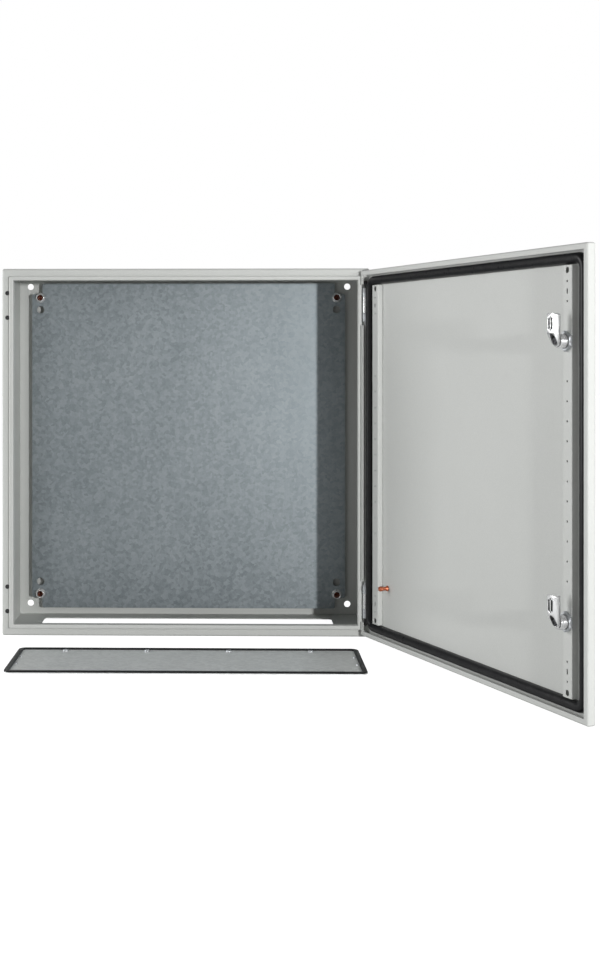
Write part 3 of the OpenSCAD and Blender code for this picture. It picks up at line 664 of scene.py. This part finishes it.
def carved(solid, changes, edge):
    """A solid joined with, cut by or trimmed to other solids, with its edges broken."""
    made = []
    for points, faces in [solid] + [shape for _, shape in changes]:
        mesh = bpy.data.meshes.new("blank")
        mesh.from_pydata(points, [], faces)
        blank = bpy.data.objects.new("blank", mesh)
        bpy.context.scene.collection.objects.link(blank)
        skin = bmesh.new()
        skin.from_mesh(mesh)
        bmesh.ops.recalc_face_normals(skin, faces=skin.faces)
        skin.to_mesh(mesh)
        skin.free()
        made.append(blank)
    for (operation, _), tool in zip(changes, made[1:]):
        step = made[0].modifiers.new("carve", "BOOLEAN")
        step.operation, step.solver, step.object = operation, "EXACT", tool
    broken = made[0].modifiers.new("edges", "BEVEL")
    broken.width, broken.segments, broken.limit_method = edge, 3, "ANGLE"
    broken.angle_limit = math.radians(24)
    shaped = made[0].evaluated_get(bpy.context.evaluated_depsgraph_get()).to_mesh()
    points = [tuple(vertex.co) for vertex in shaped.vertices]
    faces = [tuple(face.vertices) for face in shaped.polygons]
    for blank in made:
        mesh = blank.data
        bpy.data.objects.remove(blank)
        bpy.data.meshes.remove(mesh)
    return points, faces


SLOPE_TOP, CAM_BEND, SLIT, POCKET_R = 10.6 * MM, 2.4 * MM, 0.75 * MM, 5.2 * MM


def cast_cam(depth, reach):
    """Cam with its back on Y = 0 and its hub on the Z axis: ribbed trough above, pocket in the hub."""
    half = CAM_W / 2
    profile = [(0.6 * MM, -half), (depth, SLOPE_TOP), (depth, reach), (0, reach), (0, -half)]
    body = prism(profile, -half, half, lambda y, z, x: (x, y, z))
    front = arc(0, 0, half, 180, 360, 24)
    front += arc(half - CAM_BEND, reach - CAM_BEND, CAM_BEND, 0, 90, 6)
    front += arc(CAM_BEND - half, reach - CAM_BEND, CAM_BEND, 90, 180, 6)
    outline = prism(front, -MM, depth + MM, lambda x, z, y: (x, y, z))
    changes = [("INTERSECT", outline)]
    low, high = 14.8 * MM, reach - 6.2 * MM
    for side_x in (-1, 1):
        inner, outer = 1.05 * MM * side_x, 4.9 * MM * side_x
        trough = [(inner, low), (outer, low), (outer, high), (inner, high)]
        changes.append(("DIFFERENCE", prism(trough, 2 * MM, depth + MM, lambda x, z, y: (x, y, z))))
    for foot in (low - 2.4 * MM, high - 0.4 * MM):
        slit = [(-SLIT, foot), (SLIT, foot), (SLIT, foot + 2.8 * MM), (-SLIT, foot + 2.8 * MM)]
        changes.append(("DIFFERENCE", prism(slit, depth - 1.8 * MM, depth + MM, lambda x, z, y: (x, y, z))))
    pocket = arc(0, 0, POCKET_R, 180, 360, 18) + arc(0, 4.2 * MM, POCKET_R, 0, 180, 18)
    changes.append(("DIFFERENCE", prism(pocket, 1.2 * MM, depth + MM, lambda x, z, y: (x, y, z))))
    return carved(body, changes, 0.4 * MM)


for lock in ("upper", "lower"):
    low, high = closed_box(lock + "_lock_housing")
    axis = middle((low, high))
    collar_r = (high.x - low.x) / 2
    collar_foot = closed_box(lock + "_lock_seal")[0].y - low.y
    barrel_r, bore_r = 9 * MM, 5.05 * MM
    reach = high.y - low.y
    rings = [
        (reach, bore_r), (0.5 * MM, bore_r), (0.15 * MM, bore_r + 0.3 * MM), (0, bore_r + 0.9 * MM),
        (0.0, collar_r - 3.2 * MM), (0.12 * MM, collar_r - 2.0 * MM), (0.5 * MM, collar_r - 0.9 * MM),
        (1.1 * MM, collar_r - 0.25 * MM), (1.8 * MM, collar_r), (collar_foot - 0.3 * MM, collar_r),
        (collar_foot, collar_r - 0.3 * MM), (collar_foot, barrel_r)]
    rings += threaded(collar_foot + 0.1 * MM, reach, barrel_r, BARREL_DEPTH, BARREL_PITCH, 0.8 * MM)
    piece(lock + "_lock_body",
          [(*turned(rings, 60, BARREL_PITCH, joined=True), swing @ facing((axis.x, low.y, axis.z), BACK))],
          "bright_chrome", "door", [lock + "_lock_housing"])

    low, high = closed_box(lock + "_lock_seal")
    seal_r, seal_t = (high.x - low.x) / 2, high.y - low.y
    lips = [(0, barrel_r + 0.05 * MM), (0, seal_r - 0.55 * MM)]
    lips += [(seal_t / 2 - seal_t / 2 * math.cos(math.pi * i / 8),
              seal_r - 0.45 * MM + 0.45 * MM * math.sin(math.pi * i / 8)) for i in range(1, 8)]
    lips += [(seal_t, seal_r - 0.55 * MM), (seal_t, barrel_r + 0.05 * MM)]
    piece(lock + "_seal_ring",
          [(*turned(lips, 60, joined=True), swing @ facing((axis.x, low.y, axis.z), BACK))],
          "gasket_foam", "door", [lock + "_lock_seal"])

    low, high = closed_box(lock + "_lock_nut")
    flat_r, nut_t = (high.x - low.x) / 2, high.y - low.y
    bore = barrel_r + 0.05 * MM
    rings = [
        (0, bore + 0.6 * MM), (0, flat_r - 0.5 * MM), (0.1 * MM, flat_r - 0.1 * MM, 0, 0.15),
        (0.5 * MM, flat_r, 0, 0.6), (1.0 * MM, flat_r, 0, 1), (nut_t - 1.0 * MM, flat_r, 0, 1),
        (nut_t - 0.5 * MM, flat_r, 0, 0.6), (nut_t - 0.1 * MM, flat_r - 0.1 * MM, 0, 0.15),
        (nut_t, flat_r - 0.5 * MM), (nut_t, bore + 0.6 * MM), (nut_t - 0.5 * MM, bore), (0.5 * MM, bore)]
    piece(lock + "_hexagon_nut",
          [(*turned(rings, 72, joined=True), swing @ facing((axis.x, low.y, axis.z), BACK, math.pi / 6))],
          "zinc_plate", "door", [lock + "_lock_nut"])

    low, high = closed_box(lock + "_lock_cam")
    cam_foot = Vector((axis.x, low.y, low.z + CAM_W / 2))
    piece(lock + "_cast_cam",
          [(*cast_cam(high.y - low.y, high.z - cam_foot.z), swing @ Matrix.Translation(cam_foot))],
          "bright_chrome", lock + "_lock", [lock + "_lock_cam"], crease=28)
    rings = [(1.2 * MM, 0.5 * MM, 0, 1), (1.2 * MM, 1.95 * MM, 0, 1), (0.05 * MM, 2.0 * MM, 0, 1),
             (0, 2.2 * MM), (0, 3.4 * MM), (0.2 * MM, 3.85 * MM), (0.6 * MM, 4.05 * MM),
             (2.0 * MM, 4.05 * MM), (2.0 * MM, 1.9 * MM), (6.0 * MM, 1.9 * MM)]
    head_top = cam_foot + Vector((0, SQUARE_TOP + 2.0 * MM, 0))
    piece(lock + "_socket_screw", [(*turned(rings, 48), swing @ facing(head_top, FRONT))],
          "dark_screw", lock + "_lock", [lock + "_cam_screw"])

# ---------------------------------------------------------------- gland plate fittings

strip_low, strip_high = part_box("gland_gasket")
STRIP_W, STRIP_BEND = 8 * MM, 8 * MM
strip_mid = middle((strip_low, strip_high))
strip_h = strip_high.z - strip_low.z


def strip_section(i, spot):
    """Flat foam strip with soft shoulders."""
    half = STRIP_W / 2 * (0.97 + 0.02 * wander(spot, 45.0, 2.0))
    rise = strip_h * (0.95 + 0.04 * wander(spot, 30.0, 6.0))
    section = []
    steps = 12
    for j in range(steps + 1):
        angle = math.pi * j / steps
        section.append((half * math.copysign(abs(math.cos(angle)) ** 0.35, math.cos(angle)),
                        rise * math.sin(angle) ** 0.45))
    return section


loop = round_loop(strip_high.x - strip_low.x - STRIP_W, strip_high.y - strip_low.y - STRIP_W,
                  STRIP_BEND, 6 * MM)
piece("foam_gland_gasket",
      [(*bead(loop, strip_section, lambda a, b, up: (strip_mid.x + a, strip_mid.y + b, strip_low.z + up)),
        Matrix.Identity(4))],
      "gasket_foam", "loose_gland_plate", ["gland_gasket"], crease=60)

clinch_shapes = []
for low, high in islands("gland_nuts", 0):
    radius, rise, bore = (high.x - low.x) / 2, high.z - low.z, 2 * MM
    rings = [(0, bore), (0, radius), (rise - 0.75 * MM, radius), (rise - 0.35 * MM, radius - 0.2 * MM),
             (rise, radius - 0.7 * MM), (rise, bore + 0.45 * MM), (rise - 0.35 * MM, bore + 0.05 * MM)]
    rings += threaded(rise - 0.45 * MM, 0.1 * MM, bore + 0.25 * MM, 0.2 * MM, 0.7 * MM)
    clinch_shapes.append((*turned(rings, 40, 0.7 * MM, joined=True), Matrix.Translation(
        ((low.x + high.x) / 2, (low.y + high.y) / 2, low.z))))
piece("clinch_nuts", clinch_shapes, "zinc_plate", "loose_gland_plate", ["gland_nuts"])

rivet_shapes = []
rivet_low, rivet_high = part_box("gland_rivets")
RIVET_R = 2 * MM
rise = rivet_high.z - rivet_low.z
rings = [(0, RIVET_R), (0.3 * MM, RIVET_R)]
for i in range(1, 6):
    angle = math.pi / 2 * i / 7
    rings.append((0.3 * MM + (rise - 0.3 * MM) * math.sin(angle), RIVET_R * math.cos(angle) ** 0.8))
rings += [(rise - 0.05 * MM, 0.62 * MM), (rise - 0.5 * MM, 0.55 * MM), (rise - 0.5 * MM, 0.1 * MM)]
for x in (rivet_low.x + RIVET_R, rivet_high.x - RIVET_R):
    for y in (rivet_low.y + RIVET_R, rivet_high.y - RIVET_R):
        rivet_shapes.append((*turned(rings, 32), Matrix.Translation((x, y, rivet_low.z))))
piece("rivet_heads", rivet_shapes, "zinc_plate", "loose_gland_plate", ["gland_rivets"])

# ---------------------------------------------------------------- floor, light and camera

SKY = 0.16

low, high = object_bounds()
floor_mesh = bpy.data.meshes.new("floor")
FLOOR_HALF = 14.0
floor_corners = [(FLOOR_HALF * x, FLOOR_HALF * y, 0) for x, y in ((-1, -1), (1, -1), (1, 1), (-1, 1))]
floor_mesh.from_pydata(floor_corners, [], [(0, 1, 2, 3)])
floor = bpy.data.objects.new("floor", floor_mesh)
floor.location.z = low.z - 0.1 * MM
floor.visible_shadow = False
bpy.context.scene.collection.objects.link(floor)

paper = Finish("white_floor")
plain = paper.add("ShaderNodeBsdfDiffuse", None, {"Color": (0.50, 0.50, 0.50, 1)})
seen = paper.add("ShaderNodeLightPath", output="Is Camera Ray")
mirrored = paper.add("ShaderNodeLightPath", output="Is Glossy Ray")
through = paper.add("ShaderNodeLightPath", output="Is Transmission Ray")
bright = paper.add("ShaderNodeEmission", None, {
    "Color": (1, 1, 1, 1), "Strength": 0.93 * seen.most(through) + 0.2 * mirrored})
paper.add("ShaderNodeOutputMaterial", None, {
    "Surface": paper.add("ShaderNodeAddShader", None, {0: plain, 1: bright})})
floor_mesh.materials.append(paper.material)

sky = bpy.data.worlds.new("studio")
bpy.context.scene.world = sky
air = Nodes(sky)
seen = air.add("ShaderNodeLightPath", output="Is Camera Ray")
mirrored = air.add("ShaderNodeLightPath", output="Is Glossy Ray")
through = air.add("ShaderNodeLightPath", output="Is Transmission Ray")
soft = air.add("ShaderNodeBackground", None, {
    "Color": (1, 1, 1, 1), "Strength": SKY + (1.0 - SKY) * seen.most(through) + 0.1 * mirrored})
air.add("ShaderNodeOutputWorld", None, {"Surface": soft})


def lamp(name, place, target, power, size, height=None):
    data = bpy.data.lights.new(name, "AREA")
    data.shape = "RECTANGLE" if height else "DISK"
    data.size = size
    if height:
        data.size_y = height
    data.energy = power
    made = bpy.data.objects.new(name, data)
    made.location = place
    made.rotation_euler = (Vector(target) - Vector(place)).to_track_quat("-Z", "Y").to_euler()
    bpy.context.scene.collection.objects.link(made)
    return made


lamp("key", (1.17, -3.0, 0.22), (0.05, -0.10, 0.0), 47.0, 0.10)
lamp("right_fill", (1.9, -2.1, 0.6), (-0.3, -0.1, 0.0), 16.0, 1.0)
lamp("left_sheen", (-0.7, -3.2, -0.15), (-0.2, -0.02, 0.0), 6.0, 1.0)
lamp("left_softbox", (-2.6, -0.10, 0.55), (0.4, -0.40, 0.1), 66.0, 1.3, 2.2)

camera_data = bpy.data.cameras.new("camera")
camera_data.sensor_width = 36
camera_data.lens = 51.52
camera_data.shift_x = 0.1049
camera_data.shift_y = -0.1270
camera = bpy.data.objects.new("camera", camera_data)
camera.location = (0.0696, -2.4306, 0.1539)
camera.rotation_euler = (math.radians(90), 0, math.radians(1.195))
bpy.context.scene.collection.objects.link(camera)
bpy.context.scene.camera = camera
bpy.context.scene.view_settings.view_transform = "Standard"
